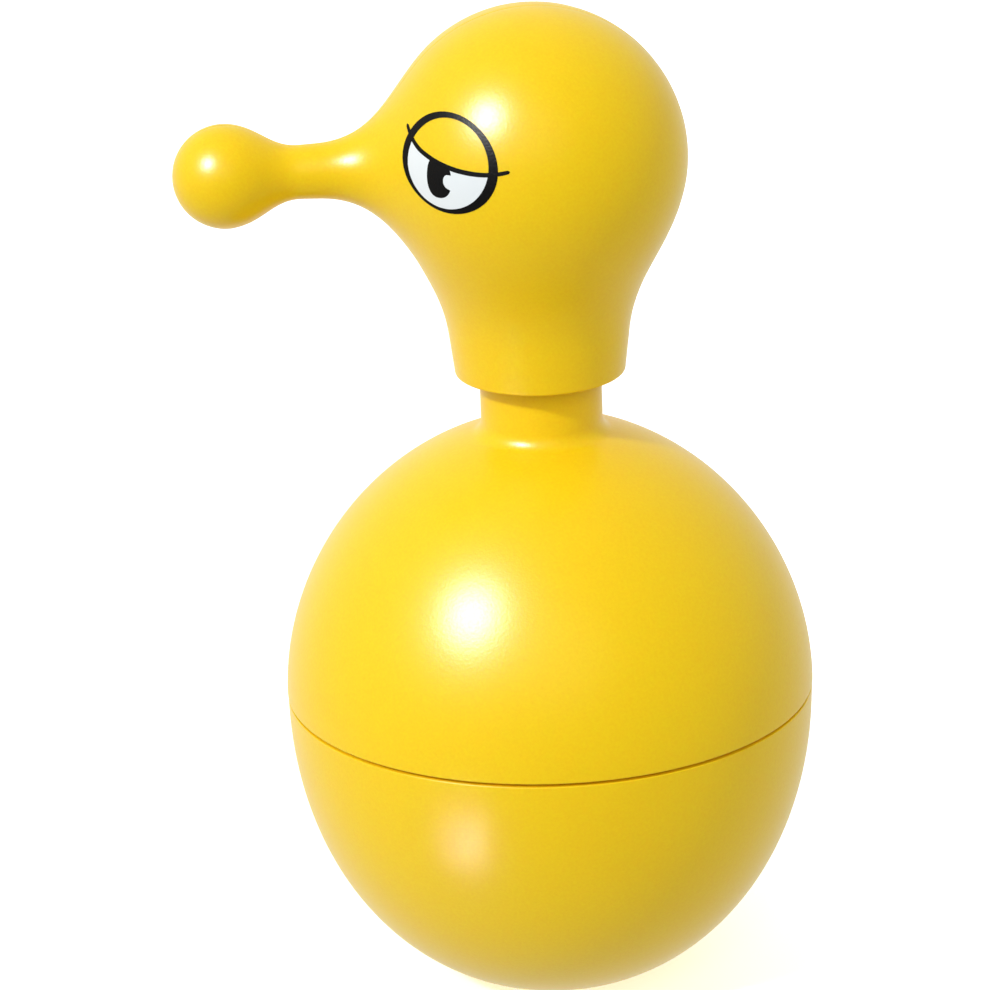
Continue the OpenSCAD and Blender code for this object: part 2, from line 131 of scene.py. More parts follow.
def mesh_object(name: str, patches: list[Patch], material: Material) -> Object:
    """Joins patches into one welded mesh with smooth shading and crisp edges.

    Args:
        name: the piece's name.
        patches: its surfaces, which meet edge to edge.
        material: its material.

    Returns:
        The new object, at the origin.
    """
    starts = np.cumsum([0] + [p.points.shape[0] * p.points.shape[1] for p in patches[:-1]])
    points = np.concatenate([p.points.reshape(-1, 3) for p in patches]) * MM
    faces = np.concatenate([p.faces(int(s)) for p, s in zip(patches, starts)])
    mesh = bpy.data.meshes.new(name)
    mesh.from_pydata(points.tolist(), [], faces.tolist())
    shape = bmesh.new()
    shape.from_mesh(mesh)
    bmesh.ops.remove_doubles(shape, verts=shape.verts, dist=WELD)
    bmesh.ops.dissolve_degenerate(shape, edges=shape.edges, dist=WELD)
    if shape.calc_volume(signed=True) < 0:
        bmesh.ops.reverse_faces(shape, faces=shape.faces)
    shape.to_mesh(mesh)
    shape.free()
    mesh.shade_smooth()
    mesh.set_sharp_from_angle(angle=SHARP_ANGLE)
    mesh.materials.append(material)
    LOG.info("%s: %d faces", name, len(mesh.polygons))
    return linked(name, mesh)


def soften(line: Points, corners: dict[int, float], steps: int = 6) -> Points:
    """Rounds the named corners of a line.

    Each corner is replaced by the parabola that leaves the line a given length before the corner and joins
    it the same length after, with the corner as its control point.

    Args:
        line: points of the line, two columns.
        corners: for each corner's index, the length cut back on either side.
        steps: spans of each rounded corner.

    Returns:
        The line with its corners rounded.
    """
    run = np.concatenate([[0.0], np.cumsum(np.linalg.norm(np.diff(line, axis=0), axis=1))])
    keep = np.ones(len(line), bool)
    t = np.linspace(0, 1, steps + 1)[:, None]
    spots, places = [], []
    for index, cut in corners.items():
        ends = run[index] + np.array([-cut, cut])
        before, after = np.stack([np.interp(ends, run, line[:, k]) for k in (0, 1)], -1)
        keep &= np.abs(run - run[index]) >= cut
        spots.append((1 - t) ** 2 * before + 2 * t * (1 - t) * line[index] + t**2 * after)
        places.append(ends[0] + 2 * cut * t[:, 0])
    order = np.argsort(np.concatenate([run[keep], *places]), kind="stable")
    return np.concatenate([line[keep], *spots])[order]


def turned(line: Points, columns: int = 144, bulge: Points | None = None) -> Patch:
    """Surface of revolution of a line of (radius, height) points about the Z axis.

    A line that starts and ends on the axis closes at two poles; any other is a closed loop, drawn
    anticlockwise with the axis on its left.

    Args:
        line: the profile.
        columns: points round the axis.
        bulge: what is added to the radius, rows by columns, or None.

    Returns:
        The surface.
    """
    angle = np.linspace(0, 2 * np.pi, columns, endpoint=False)
    radius = line[:, :1] + (0 if bulge is None else bulge)
    grid = joined(radius * np.cos(angle), radius * np.sin(angle), line[:, 1:])
    on_axis = bool(line[0, 0] < TINY)
    return Patch(grid, wrap_rows=not on_axis, wrap_columns=True)


# ---- materials


def linear(hex_colour: str) -> tuple[float, float, float, float]:
    """Turns an sRGB colour into a linear one.

    Args:
        hex_colour: such as "#f6c81e".

    Returns:
        Red, green, blue and an alpha of 1.
    """
    parts = [int(hex_colour[i : i + 2], 16) / 255 for i in (1, 3, 5)]
    red, green, blue = (p / 12.92 if p <= 0.04045 else ((p + 0.055) / 1.055) ** 2.4 for p in parts)
    return red, green, blue, 1.0


def feed(node: Node, inputs: dict[Any, Any]) -> None:
    """Sets a shader node's inputs.

    Args:
        node: the node.
        inputs: for each input, the value to set or the socket to link.
    """
    for key, value in inputs.items():
        if isinstance(value, NodeSocket):
            node.id_data.links.new(value, node.inputs[key])
        else:
            node.inputs[key].default_value = value


def add_node(tree: NodeTree, kind: str, inputs: dict[Any, Any] | None = None, **settings: str) -> Node:
    """Adds one shader node.

    Args:
        tree: the material's node tree.
        kind: the node's type name after "ShaderNode".
        inputs: for each input, the value to set or the socket to link.
        **settings: properties to set on it.

    Returns:
        The node.
    """
    made = tree.nodes.new("ShaderNode" + kind)
    for key, value in settings.items():
        setattr(made, key, value)
    feed(made, inputs or {})
    return made


class Pattern(Enum):
    """What a surface's fine relief looks like."""

    GRAIN = "spark-eroded mould grain"
    CELLS = "closed foam cells"
    STREAKS = "drawing or extrusion streaks along the axis"
    RINGS = "turning or rolling marks round the axis"


@dataclass(frozen=True)
class Finish:
    """A surface finish as one principled shader with colour, roughness and relief from a pattern.

    Args:
        name: common name of the material and how its surface was made.
        colour: sRGB hex of the surface.
        shade: sRGB hex that the colour drifts towards in soft clouds.
        roughness: mean roughness; the pattern moves it a little either way.
        pattern: the fine relief.
        pitch_mm: distance between neighbouring features of the relief.
        depth_mm: height of the relief.
        fleck: how much of the drift of colour is the fine pattern's, the rest being the clouds'.
        cloud_mm: size of the clouds of colour.
        metallic: 1 for a bare metal.
        ior: index of refraction.
        shine: specular level, 0.5 for what the index gives.
        transmission: share of light let through.
        scatter: share of light that scatters under the surface.
        scatter_mm: how far it travels for red, green and blue.
    """

    name: str
    colour: str
    shade: str
    roughness: float
    pattern: Pattern
    pitch_mm: float
    depth_mm: float
    fleck: float = 0.0
    cloud_mm: float = 18.0
    metallic: float = 0.0
    ior: float = 1.5
    shine: float = 0.5
    transmission: float = 0.0
    scatter: float = 0.0
    scatter_mm: tuple[float, float, float] = (1.0, 1.0, 1.0)

    def relief(self, tree: NodeTree, place: NodeSocket) -> NodeSocket:
        """Height of the fine pattern, 0 to 1.

        Args:
            tree: the material's node tree.
            place: coordinates in metres.

        Returns:
            The pattern's output socket.
        """
        scale = 1 / (self.pitch_mm * MM)
        if self.pattern is Pattern.CELLS:
            cells = add_node(tree, "TexVoronoi", {"Vector": place, "Scale": scale})
            return cells.outputs["Distance"]
        stretch = {
            Pattern.GRAIN: (1, 1, 1),
            Pattern.STREAKS: (1, 1, 0.02),
            Pattern.RINGS: (0.02, 0.02, 1),
        }[self.pattern]
        drawn = add_node(tree, "Mapping", {"Vector": place, "Scale": stretch}).outputs[0]
        values = {"Vector": drawn, "Scale": scale, "Detail": 2.0, "Roughness": 0.5}
        return add_node(tree, "TexNoise", values).outputs["Fac"]

    def build(self) -> Material:
        """Makes the material: clouds of colour, relief that also moves the roughness, and one shader.

        Returns:
            The material.
        """
        made = bpy.data.materials.new(self.name)
        made.use_nodes = True
        tree = made.node_tree
        tree.nodes.clear()
        place = add_node(tree, "TexCoord").outputs["Object"]
        height = self.relief(tree, place)
        values = {"Vector": place, "Scale": 1 / (self.cloud_mm * MM), "Detail": 3.0}
        clouds = add_node(tree, "TexNoise", values).outputs["Fac"]
        drift = add_node(tree, "Mix", {"Factor": self.fleck, "A": clouds, "B": height}).outputs["Result"]
        values = {"Factor": drift, "A": linear(self.colour), "B": linear(self.shade)}
        colour = add_node(tree, "Mix", values, data_type="RGBA")
        spread = ROUGHNESS_SPREAD * self.roughness
        values = {"Value": height, "To Min": self.roughness - spread, "To Max": self.roughness + spread}
        roughness = add_node(tree, "MapRange", values)
        values = {"Height": height, "Strength": 1.0, "Distance": self.depth_mm * MM}
        bump = add_node(tree, "Bump", values)
        values = {
            "Base Color": colour.outputs["Result"],
            "Roughness": roughness.outputs["Result"],
            "Normal": bump.outputs["Normal"],
            "Metallic": self.metallic,
            "IOR": self.ior,
            "Specular IOR Level": self.shine,
            "Transmission Weight": self.transmission,
            "Subsurface Weight": self.scatter,
            "Subsurface Radius": self.scatter_mm,
            "Subsurface Scale": MM,
        }
        shader = add_node(tree, "BsdfPrincipled", values, subsurface_method="RANDOM_WALK")
        add_node(tree, "OutputMaterial", {"Surface": shader.outputs["BSDF"]})
        return made


# Moulded ABS, self-coloured: a satin yellow with a faint fine fleck and soft round lights; light that gets
# into it comes back warmer.
ABS_YELLOW = Finish(
    "abs_satin_moulded_yellow", "#fedb19", "#f4c30d", 0.32, Pattern.GRAIN, 0.5, 0.02,
    fleck=0.7, cloud_mm=30, ior=1.42, shine=0.34, scatter=0.2, scatter_mm=(2.2, 0.7, 0.15),
)
# Pad-printed ink, white: a thin even film, as satin as the plastic round it.
INK_WHITE = Finish(
    "ink_white_pad_printed", "#edf3f4", "#e2e9ec", 0.34, Pattern.GRAIN, 0.4, 0.002, ior=1.4,
)
# Pad-printed ink, black: deep and a little dull, speckled where a light falls on it.
INK_BLACK = Finish(
    "ink_black_pad_printed", "#020202", "#050404", 0.4, Pattern.GRAIN, 0.4, 0.05, ior=1.4, shine=0.15,
)
# Moulded rubber: dark, dull, with a fine grit that breaks up the light.
RUBBER_PAD = Finish(
    "rubber_matt_moulded", "#2b2b2a", "#343433", 0.75, Pattern.GRAIN, 0.5, 0.02, cloud_mm=6,
)
# Nitrile rubber ring: darker and a little oily.
RUBBER_RING = Finish(
    "nitrile_rubber_moulded", "#161616", "#1f1f1f", 0.42, Pattern.GRAIN, 0.35, 0.006, cloud_mm=4,
)
# Closed-cell gasket: off-white, chalky, with a skin of small cells.
FOAM_WHITE = Finish(
    "polyethylene_foam_sliced", "#dcdcd4", "#cfcfc6", 0.85, Pattern.CELLS, 0.45, 0.03, cloud_mm=3,
)
# Unpigmented polypropylene: milky, light comes through thin walls.
PP_NATURAL = Finish(
    "polypropylene_natural_moulded", "#f0f1ec", "#e6e8e2", 0.38, Pattern.GRAIN, 0.4, 0.004,
    cloud_mm=5, ior=1.49, scatter=0.6, scatter_mm=(2.5, 2.6, 2.4),
)
# Acetal: a denser, whiter plastic with a waxy sheen.
ACETAL_WHITE = Finish(
    "acetal_white_moulded", "#ebe9e0", "#e2e0d6", 0.32, Pattern.GRAIN, 0.35, 0.003,
    cloud_mm=6, ior=1.48, scatter=0.25, scatter_mm=(1.2, 1.1, 1.0),
)
# Extruded polyethylene tube: cloudy, see-through at its edges, with faint lines along it.
PE_TUBE = Finish(
    "polyethylene_tube_extruded", "#e9eeec", "#dfe6e3", 0.28, Pattern.STREAKS, 0.25, 0.003,
    cloud_mm=8, ior=1.51, transmission=0.45,
)
# Ground and polished ball: bright, almost a mirror.
STEEL_BALL = Finish(
    "stainless_steel_polished", "#c9cbcd", "#bfc2c5", 0.08, Pattern.GRAIN, 0.3, 0.0003,
    cloud_mm=2, metallic=1.0,
)
# Drawn spring wire: grey, with die lines round the coils.
STEEL_WIRE = Finish(
    "spring_steel_drawn", "#a9abae", "#94979b", 0.3, Pattern.RINGS, 0.15, 0.002, cloud_mm=2, metallic=1.0,
)


# ---- body


@dataclass
class Lugs:
    """Helical lugs of one half of the screw joint, as a bulge of a cylinder.

    Args:
        low_mm: underside of a lug at its low end.
        tall_mm: how far the lug stands out; below zero into the bore.
        lead_mm: rise in one full turn.
        count: lugs round the joint.
        arc_deg: arc that one lug covers.
        thick_mm: thickness along the axis.
        flank_mm: width of a lug's sloping sides.
        near_mm: how far from the cylinder a point may lie and still move.
    """

    low_mm: float
    tall_mm: float
    lead_mm: float = 24.0
    count: int = 3
    arc_deg: float = 30.0
    thick_mm: float = 1.5
    flank_mm: float = 0.2
    near_mm: float = 0.01

    def bulge(self, line: Points, columns: int, radius: float) -> Points:
        """How far each point of a turned surface moves out.

        It is the lug's height times two ramps, one across the lug and one along it, each 1 inside the
        lug and falling to 0 over the flank. The band runs up the helix from the lug's low end.

        Args:
            line: the profile, whose points off the cylinder stay where they are.
            columns: points round the axis.
            radius: radius of the cylinder that the lugs stand on.

        Returns:
            Rows by columns of millimetres.
        """
        degrees = np.linspace(0, 360, columns, endpoint=False) % (360 / self.count)
        middle = self.low_mm + self.thick_mm / 2 + self.lead_mm * degrees / 360
        across = self.thick_mm / 2 - np.abs(line[:, 1:] - middle[None])
        arc_mm = np.radians(np.minimum(degrees, self.arc_deg - degrees)) * radius
        ramp = np.clip(across / self.flank_mm, 0, 1) * np.clip(arc_mm / self.flank_mm + 1, 0, 1)[None]
        on_cylinder = np.abs(line[:, :1] - radius) < self.near_mm
        return self.tall_mm * ramp * on_cylinder


@dataclass
class Body:
    """The egg-shaped reservoir: lower shell and spigot, upper shell and neck, seal and foot pad.

    The egg's curve is radius * cos(a)^(2/n) across and height * sin(a)^(2/n) away from the seam, where n
    is its fullness.
    """

    wall: float = 2.4
    lower_fullness: float = 2.12
    upper_fullness: float = 1.94
    crown_h: float = 50.9
    base_r: float = 17.0
    seam_gap: float = 0.62
    seam_step: float = 0.1
    edge: float = 0.22
    fine_edge: float = 0.2
    lip_edge: float = 0.3
    mouth_edge: float = 0.4
    joint_edge: float = 0.25
    groove_edge: float = 0.15
    foot_round: float = 1.2
    floor_round: float = 1.5
    pad_edge: float = 0.35
    neck_r: float = 11.1
    neck_wall: float = 2.0
    neck_fillet: float = 3.0
    joint_step: float = 0.4
    spigot_gap: float = 1.3
    spigot_wall: float = 2.8
    spigot_base: float = 3.2
    ledge: float = 1.5
    lug_play: float = 0.3
    groove_z: float = 57.2
    groove_h: float = 2.7
    groove_depth: float = 1.2
    seat_gap: float = 0.02
    row_step: float = 0.15
    columns: int = 288
    outer_rows: int = 90
    upper_rows: int = 60
    lower_rows: int = 70
    body_r: float = field(init=False)
    seam_z: float = field(init=False)
    neck_top: float = field(init=False)
    spigot_top: float = field(init=False)
    foot_z: float = field(init=False)
    joint_r: float = field(init=False)
    spigot_r: float = field(init=False)
    lower_h: float = field(init=False)

    def __post_init__(self) -> None:
        """Reads the levels that the frame gives."""
        low, high = box_mm("upper_shell")
        self.body_r, self.seam_z, self.neck_top = high[0], low[2], high[2]
        low, high = box_mm("lower_shell")
        self.foot_z, self.spigot_top = low[2], high[2]
        self.joint_r = self.body_r - self.wall - self.joint_step
        self.spigot_r = self.joint_r - self.spigot_gap
        across = (self.base_r / self.body_r) ** self.lower_fullness
        self.lower_h = (self.seam_z - self.foot_z) / (1 - across) ** (1 / self.lower_fullness)

    def egg(self, radius: float, height: float, n: float, start: float, end: float, count: int) -> Points:
        """Points of an egg half between two levels.

        Args:
            radius: radius at the seam.
            height: height of the whole half, below zero for the lower one.
            n: fullness.
            start: distance from the seam where the points start, along the height.
            end: distance where they end.
            count: spans.

        Returns:
            Rows of (radius, level).
        """
        angles = np.arcsin((np.array([start, end]) / abs(height)) ** (n / 2))
        a = np.linspace(*angles, count + 1)
        return joined(radius * np.cos(a) ** (2 / n), self.seam_z + height * np.sin(a) ** (2 / n))

    def upper_line(self) -> Points:
        """Closed profile of the upper shell: curve, neck fillet, neck, bore, inside curve, joint bore.

        Returns:
            Rows of (radius, level).
        """
        n, bore_r = self.upper_fullness, self.neck_r - self.neck_wall
        reach = (self.neck_r + self.neck_fillet) / self.body_r
        slope = math.atan(self.crown_h / self.body_r * reach ** (n - 1))
        foot_r = self.neck_r + self.neck_fillet * (1 - math.sin(slope))
        foot = self.crown_h * (1 - (foot_r / self.body_r) ** n) ** (1 / n)
        a = np.linspace(slope, math.pi / 2, 15)[1:]
        centre = self.seam_z + foot + self.neck_fillet * math.cos(slope)
        across = self.neck_r + self.neck_fillet * (1 - np.sin(a))
        fillet = joined(across, centre - self.neck_fillet * np.cos(a))
        inner_r, inner_h = self.body_r - self.wall, self.crown_h - self.wall
        top = inner_h * (1 - (bore_r / inner_r) ** n) ** (1 / n)
        joint_top = self.spigot_top + self.lug_play
        ledge = joint_top + self.ledge - self.seam_z
        inside = self.egg(inner_r, inner_h, n, ledge, top, self.upper_rows)[::-1]
        rows = np.arange(joint_top - self.fine_edge, self.seam_z + self.lip_edge, -self.row_step)
        bore = joined(self.joint_r, rows)
        outside = self.egg(self.body_r, self.crown_h, n, 0, foot, self.outer_rows)
        start = (self.joint_r + self.body_r) / 2
        line = np.concatenate([
            [[start, self.seam_z]],
            outside, fillet,
            [[self.neck_r, self.neck_top], [bore_r, self.neck_top]],
            inside, [[self.joint_r, joint_top]], bore, [[self.joint_r, self.seam_z]],
            [[start - 0.01, self.seam_z]],
        ])
        lip = 1 + len(outside) + len(a)
        neck = {lip: self.mouth_edge, lip + 1: self.fine_edge, lip + 2: self.lip_edge}
        return soften(line, {1: self.edge, **neck, len(line) - 2: self.joint_edge})

    def lower_line(self) -> Points:
        """Profile of the lower shell from the pad's recess round the outside and spigot to the floor.

        Returns:
            Rows of (radius, level).
        """
        n, pad_r = self.lower_fullness, box_mm("foot_pad")[1][0] + self.seat_gap
        pad_top, floor = box_mm("foot_pad")[1][2], self.foot_z + self.wall
        outer_r = self.body_r - self.seam_step
        inner_r, inner_h = self.body_r - self.wall, self.lower_h - self.wall
        top = self.seam_z - self.seam_gap
        drop = self.seam_z - self.foot_z
        outside = self.egg(outer_r, -self.lower_h, n, self.seam_gap, drop, self.outer_rows)[::-1]
        inside = self.egg(inner_r, -inner_h, n, self.spigot_base, self.seam_z - floor, self.lower_rows)
        spigot_in = self.spigot_r - self.spigot_wall
        groove_r, groove_top = self.spigot_r - self.groove_depth, self.groove_z + self.groove_h
        rows = np.arange(groove_top + self.mouth_edge, self.spigot_top - self.lip_edge, self.row_step)
        line = np.concatenate([
            [[0, pad_top], [pad_r, pad_top], [pad_r, self.foot_z]],
            outside,
            [[self.spigot_r, top], [self.spigot_r, self.groove_z], [groove_r, self.groove_z]],
            [[groove_r, groove_top], [self.spigot_r, groove_top]],
            joined(self.spigot_r, rows),
            [[self.spigot_r, self.spigot_top], [spigot_in, self.spigot_top]],
            [[spigot_in, self.seam_z - self.spigot_base]],
            inside, [[0, floor]],
        ])
        rim = 2 + len(outside)
        lip = rim + 6 + len(rows)
        foot = {2: self.fine_edge, 3: self.foot_round}
        groove = {rim: self.edge, rim + 2: self.groove_edge, rim + 5: self.groove_edge}
        spigot = {lip: self.lip_edge, lip + 1: self.lip_edge, lip + 2: self.mouth_edge}
        return soften(line, {**foot, **groove, **spigot, len(line) - 2: self.floor_round})

    def build(self, yellow: Material, rubber: Material, pad: Material) -> None:
        """Makes the two shells, the sealing ring and the foot pad.

        Args:
            yellow: the shells' material.
            rubber: the ring's material.
            pad: the foot pad's material.
        """
        line, tall = self.upper_line(), self.spigot_gap - self.lug_play
        lugs = Lugs(self.groove_z + self.groove_h + self.lug_play, -tall)
        shell = turned(line, self.columns, lugs.bulge(line, self.columns, self.joint_r))
        place(mesh_object("body_upper", [shell], yellow), "top", "yellow_body", "upper_shell")
        line = self.lower_line()
        lugs = Lugs(lugs.low_mm + lugs.thick_mm + self.lug_play, tall)
        shell = turned(line, self.columns, lugs.bulge(line, self.columns, self.spigot_r))
        place(mesh_object("body_lower", [shell], yellow), "base", "yellow_body", "lower_shell")
        low, high = box_mm("body_seal")
        ring, level = (high[2] - low[2]) / 2, (low[2] + high[2]) / 2
        a = np.linspace(0, 2 * np.pi, 24, endpoint=False)
        circle = joined(high[0] - ring + ring * np.cos(a), level + ring * np.sin(a))
        place(mesh_object("seal_ring", [turned(circle, 240)], rubber), "seal", "seal_rubber", "body_seal")
        r, top = box_mm("foot_pad")[1][0], box_mm("foot_pad")[1][2]
        corners = {1: self.pad_edge, 2: self.fine_edge}
        disc = soften(np.array([[0, 0], [r, 0], [r, top], [0, top]]), corners)
        place(mesh_object("foot_disc", [turned(disc)], pad), "base", "pad_rubber", "foot_pad")


def place(piece: Object, body: str, slot: str, *nodes: str) -> None:
    """Puts a piece on its body and hides the CAD nodes that it replaces.

    Args:
        piece: the finished piece.
        body: the CAD body that it rides on.
        slot: not used.
        *nodes: the CAD nodes that it replaces.
    """
    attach(piece, body)
    if nodes:
        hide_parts(*nodes)


# ---- head


def soft_min(a: Points, b: Points, width: float) -> Points:
    """Smaller of two distances, blended by a square over the given width."""
    h = np.maximum(width - np.abs(a - b), 0)
    return np.minimum(a, b) - h * h / (4 * width)


@dataclass
class Head:
    """The head as a distance field: a ball on a flared skirt, with a nose tube and its ball end."""

    head_r: float = 26.8
    head_rise: float = 40.7
    wall: float = 1.8
    skirt_r: float = 15.45
    skirt_flare: float = 0.122
    column_drop: float = 5.0
    nose_lift: float = -1.05
    nose_r: float = 4.8
    nose_ball_r: float = 9.3
    taper_start: float = 10.7
    taper: float = 0.0044
    blend_skirt: float = 10.0
    blend_nose: float = 11.4
    blend_ball: float = 4.8
    pivot: float = 27.0
    parting_edge: float = 0.22
    rim_edge: float = 0.45
    outlet_step: float = 0.9
    outlet_gap: float = 0.02
    far_mm: float = 60.0
    short_of_pivot: float = 0.97
    parting_sine: float = 0.35
    hole_sine: float = 0.9
    neck_rows: int = 22
    turn_rows: int = 100
    nose_rows: int = 60
    hole_rows: int = 25
    tip_rows: int = 36
    ring_columns: int = 60
    rim_z: float = field(init=False)
    nose_len: float = field(init=False)
    head_z: float = field(init=False)
    nose_z: float = field(init=False)
    outlet_r: float = field(init=False)

    def __post_init__(self) -> None:
        """Reads the rim's level, the nose's length and the outlet's radius from the frame."""
        low, _ = box_mm("head_left_shell")
        self.rim_z, self.nose_len = low[2], -low[0] - self.nose_ball_r
        self.head_z = self.rim_z + self.head_rise
        self.nose_z = self.head_z + self.nose_lift
        self.outlet_r = box_mm("nozzle_tip")[1][1] - self.outlet_step + self.outlet_gap

    def field(self, p: Points) -> Points:
        """Distance of points from the head's outside, negative within.

        The ball, the flared column under it and the nose tube, which thickens with the square of the
        distance from its end, are joined by square blends; the nose's ball is blended on last.

        Args:
            p: points, with x, y and z last.

        Returns:
            One distance for each point.
        """
        x, y, z = p[..., 0], p[..., 1], p[..., 2]
        ball = np.sqrt(x**2 + y**2 + (z - self.head_z) ** 2) - self.head_r
        column_z = self.head_z - self.column_drop
        flare = self.skirt_flare * (np.minimum(z, column_z) - self.rim_z)
        column = np.sqrt(x**2 + y**2 + np.maximum(z - column_z, 0) ** 2) - self.skirt_r - flare
        along = np.clip(-x, -5, self.nose_len)
        grown = np.maximum(self.nose_len - self.taper_start - along, 0)
        radius = self.nose_r + self.taper * grown**2
        tube = np.sqrt((x + along) ** 2 + y**2 + (z - self.nose_z) ** 2) - radius
        tip = np.sqrt((x + self.nose_len) ** 2 + y**2 + (z - self.nose_z) ** 2) - self.nose_ball_r
        trunk = soft_min(soft_min(ball, column, self.blend_skirt), tube, self.blend_nose)
        return soft_min(trunk, tip, self.blend_ball)

    def normal(self, p: Points) -> Points:
        """Unit direction away from the surface: the field's slope by central differences.

        Args:
            p: points, with x, y and z last.

        Returns:
            One direction for each point.
        """
        step = 0.01 * np.eye(3)
        slope = np.stack([self.field(p + s) - self.field(p - s) for s in step], -1)
        return slope / np.linalg.norm(slope, axis=-1, keepdims=True)

    def reach(self, start: Points, way: Points, far: Points, level: float) -> Points:
        """Distance along each ray at which the field reaches a level, by halving the interval.

        Args:
            start: where the rays start, inside the surface.
            way: their unit directions.
            far: the furthest distance, outside the surface.
            level: the field's value that is looked for.

        Returns:
            One distance for each ray.
        """
        low, high = np.zeros_like(far), far.astype(float)
        for _ in range(HALVINGS):
            middle = (low + high) / 2
            inside = self.field(start + middle[..., None] * way) < level
            low, high = np.where(inside, middle, low), np.where(inside, high, middle)
        return (low + high) / 2

    def stations(self, ball_r: float) -> tuple[Points, Points]:
        """Centres and upward directions of the planes that cut the head into half rings.

        They rise from the rim, turn a quarter about a pivot in front of the chin, and run out along the
        nose, closer together at the rim's edge and across the outlet.

        Args:
            ball_r: radius of the ball end on the surface that is cut.

        Returns:
            Rows of centres, and rows of directions away from the chin.
        """
        edge = self.rim_edge * np.array([0, 0.04, 0.12, 0.25, 0.45, 0.7, 1.0])
        top = self.nose_z - self.pivot - self.rim_z
        rise = np.concatenate([edge, np.linspace(1.0, top, self.neck_rows)[:-1]])
        up = joined(0, 0, self.rim_z + rise)
        a = np.linspace(0, np.pi / 2, self.turn_rows)[:-1]
        turn = joined(self.pivot * (np.cos(a) - 1), 0, self.nose_z + self.pivot * (np.sin(a) - 1))
        out = np.linspace(self.pivot, self.nose_len - self.outlet_r, self.nose_rows)[:-1]
        hole = self.nose_len - self.outlet_r * np.cos(np.linspace(0, np.pi, self.hole_rows))[:-1]
        b = np.linspace(math.acos(self.outlet_r / ball_r), 0, self.tip_rows)
        tip = self.nose_len + ball_r * np.cos(b)
        x = -np.concatenate([out, hole, tip])
        nose = joined(x, 0, self.nose_z)
        ways = np.concatenate([
            np.tile([1.0, 0, 0], (len(up), 1)),
            joined(np.cos(a), 0, np.sin(a)),
            np.tile([0, 0, 1.0], (len(nose), 1)),
        ])
        return np.concatenate([up, turn, nose]), ways

    def cast(self, stations: tuple[Points, Points], turns: Points, level: float) -> Points:
        """Points where rays from the stations' centres meet the surface.

        Args:
            stations: the centres and their upward directions.
            turns: for each station, angles of its rays from upward towards the side.
            level: the field's value on the surface.

        Returns:
            Stations by rays by three.
        """
        centres, ways = stations
        way = np.cos(turns)[..., None] * ways[:, None] + np.sin(turns)[..., None] * np.array([0, 1.0, 0])
        down = np.maximum(-np.cos(turns), 1e-9)
        far = np.minimum(self.far_mm, self.short_of_pivot * self.pivot / down)
        start = np.broadcast_to(centres[:, None], way.shape)
        return start + self.reach(start, way, far, level)[..., None] * way

    def half_rings(self, level: float) -> Points:
        """Half rings of points on the surface at a level, from the top of each ring to its underside.

        Columns are close together beside the parting plane and the outlet's edge. There the surface
        falls back along a quarter circle, and so it does at the rim, which leaves rounded edges.

        Args:
            level: 0 for the outside, minus the wall for the inside.

        Returns:
            Stations by columns by three.
        """
        stations = self.stations(self.nose_ball_r + level)
        centres = stations[0]
        ends = self.cast(stations, np.tile([0, np.pi], (len(centres), 1)), level)
        size = np.maximum(np.linalg.norm(ends - centres[:, None], axis=-1), TINY)
        beside = self.parting_edge * np.array([0, 0.06, 0.2, 0.42, 0.7, 1.0])
        on_nose = centres[:, 0] < -self.pivot - TINY
        hole = np.where(on_nose, self.outlet_r**2 - (centres[:, 0] + self.nose_len) ** 2, 0)
        hole = np.sqrt(np.maximum(hole, 0))
        first = np.arcsin(np.minimum(beside / size[:, :1], self.parting_sine))
        last = np.arcsin(np.minimum((hole[:, None] + beside) / size[:, 1:], self.hole_sine))
        share = np.linspace(0, 1, self.ring_columns)[1:-1]
        middle = first[:, -1:] + (np.pi - last[:, -1:] - first[:, -1:]) * share
        points = self.cast(stations, np.concatenate([first, middle, np.pi - last[:, ::-1]], 1), level)
        if level < 0:
            return points
        gap = np.zeros(points.shape[:2])
        gap[:, : len(beside)] = self.fall(beside, self.parting_edge)
        gap[:, -len(beside) :] = self.fall(beside, self.parting_edge)[::-1]
        rim = self.fall(points[..., 2] - self.rim_z, self.rim_edge)
        gap = np.where(centres[:, None, 2] < self.rim_z + self.rim_edge, np.maximum(gap, rim), gap)
        gap[-1] = 0
        return points - gap[..., None] * self.normal(points)

    @staticmethod
    def fall(away: Points, edge: float) -> Points:
        """How far a rounded edge of radius edge lies below its face, at a distance away from the edge."""
        return edge - np.sqrt(np.maximum(edge**2 - np.maximum(edge - away, 0) ** 2, 0))

    def build(self, yellow: Material) -> None:
        """Makes the two halves of the head, each one closed wall.

        A row of the grid goes round the wall's section: out along the outside, back along the inside.

        Args:
            yellow: the shells' material.
        """
        outer, inner = self.half_rings(0.0), self.half_rings(-self.wall)
        front = -self.nose_len - self.nose_ball_r
        outer[-1] = [front, 0, self.nose_z]
        inner[-1] = [front + self.wall, 0, self.nose_z]
        wall = np.concatenate([outer, inner[:, ::-1]], 1)
        rim = np.stack([inner[0], outer[0]])
        flip = np.array([1, -1, 1])
        right = [Patch(wall[:, ::-1], wrap_columns=True), Patch(rim[:, ::-1])]
        left = [Patch(wall * flip, wrap_columns=True), Patch(rim * flip)]
        place(mesh_object("head_right", right, yellow), "head", "yellow_head", "head_right_shell")
        place(mesh_object("head_left", left, yellow), "head", "yellow_head", "head_left_shell")


